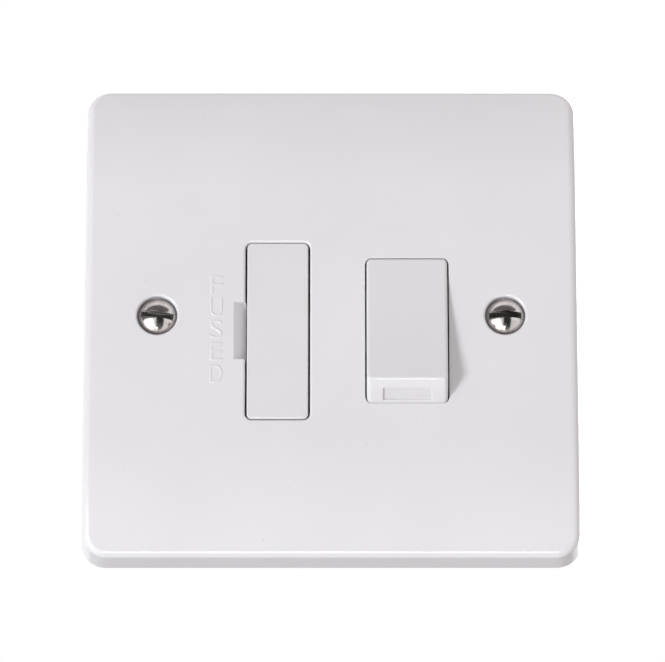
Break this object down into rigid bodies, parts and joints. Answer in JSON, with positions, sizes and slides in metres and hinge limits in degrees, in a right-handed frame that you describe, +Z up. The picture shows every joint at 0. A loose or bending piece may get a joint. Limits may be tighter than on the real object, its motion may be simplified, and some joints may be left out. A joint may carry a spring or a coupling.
{
  "type": "fused spur unit",
  "caption": "Square white wall plate with a rocker switch and a pull-out fuse carrier, a rear housing with wire terminals, and two fixing screws.",
  "frame": {"origin": "midway between the two fixing screws, in the wall plane at the back of the plate's rim", "axes": "+X to the right seen from the front, +Y into the wall, +Z up"},
  "size_m": [0.0856, 0.034, 0.0856],
  "materials": {
    "face_white": "glossy white moulded plastic",
    "housing_white": "satin white moulded plastic",
    "nickel": "bright nickel plate",
    "zinc_steel": "zinc plated steel",
    "spring_steel": "drawn steel wire",
    "nylon": "natural nylon",
    "ceramic": "unglazed ceramic",
    "plated_cap": "nickel plated brass",
    "silver": "silver contact metal",
    "brass": "bright rolled brass"
  },
  "bodies": {
    "unit": {"front_plate": "face_white", "rear_housing": "housing_white", "fixing_screws": "nickel", "assembly_screws": "zinc_steel", "terminal_screws": "zinc_steel", "fixed_tips": "silver", "terminal_supply_earth": "brass", "terminal_supply_live": "brass", "terminal_supply_neutral": "brass", "terminal_load_earth": "brass", "terminal_load_live": "brass", "terminal_load_neutral": "brass", "fuse_clip_upper": "brass", "fuse_clip_lower": "brass", "supply_strip_live": "brass", "supply_strip_neutral": "brass", "fulcrum_strip_live": "brass", "fulcrum_strip_neutral": "brass", "load_strip_live": "brass", "earth_strap": "brass"},
    "rocker": {"rocker": "face_white", "plunger_live": "nylon", "plunger_neutral": "nylon", "plunger_spring_live": "spring_steel", "plunger_spring_neutral": "spring_steel"},
    "contact_live": {"moving_contact_live": "brass", "moving_tip_live": "silver"},
    "contact_neutral": {"moving_contact_neutral": "brass", "moving_tip_neutral": "silver"},
    "carrier": {"fuse_carrier": "face_white", "fuse_tube": "ceramic", "fuse_cap_upper": "plated_cap", "fuse_cap_lower": "plated_cap"}
  },
  "joints": [
    {"name": "rocker_turn", "type": "hinge", "parent": "unit", "child": "rocker", "pos_m": [0.01314, -0.0015, -0.00285], "axis": [1, 0, 0], "range_deg": [0, 16.8]},
    {"name": "contact_live_rock", "type": "hinge", "parent": "unit", "child": "contact_live", "pos_m": [0.00984, 0.0045, -0.00285], "axis": [1, 0, 0], "range_deg": [-19.1, 0]},
    {"name": "contact_neutral_rock", "type": "hinge", "parent": "unit", "child": "contact_neutral", "pos_m": [0.01644, 0.0045, -0.00285], "axis": [1, 0, 0], "range_deg": [-19.1, 0]},
    {"name": "carrier_slide", "type": "slide", "parent": "unit", "child": "carrier", "axis": [0, -1, 0], "range_m": [0, 0.013]}
  ],
  "couplings": [
    {"joint": "contact_live_rock", "follows": "rocker_turn", "ratio": -1.131},
    {"joint": "contact_neutral_rock", "follows": "rocker_turn", "ratio": -1.131}
  ]
}
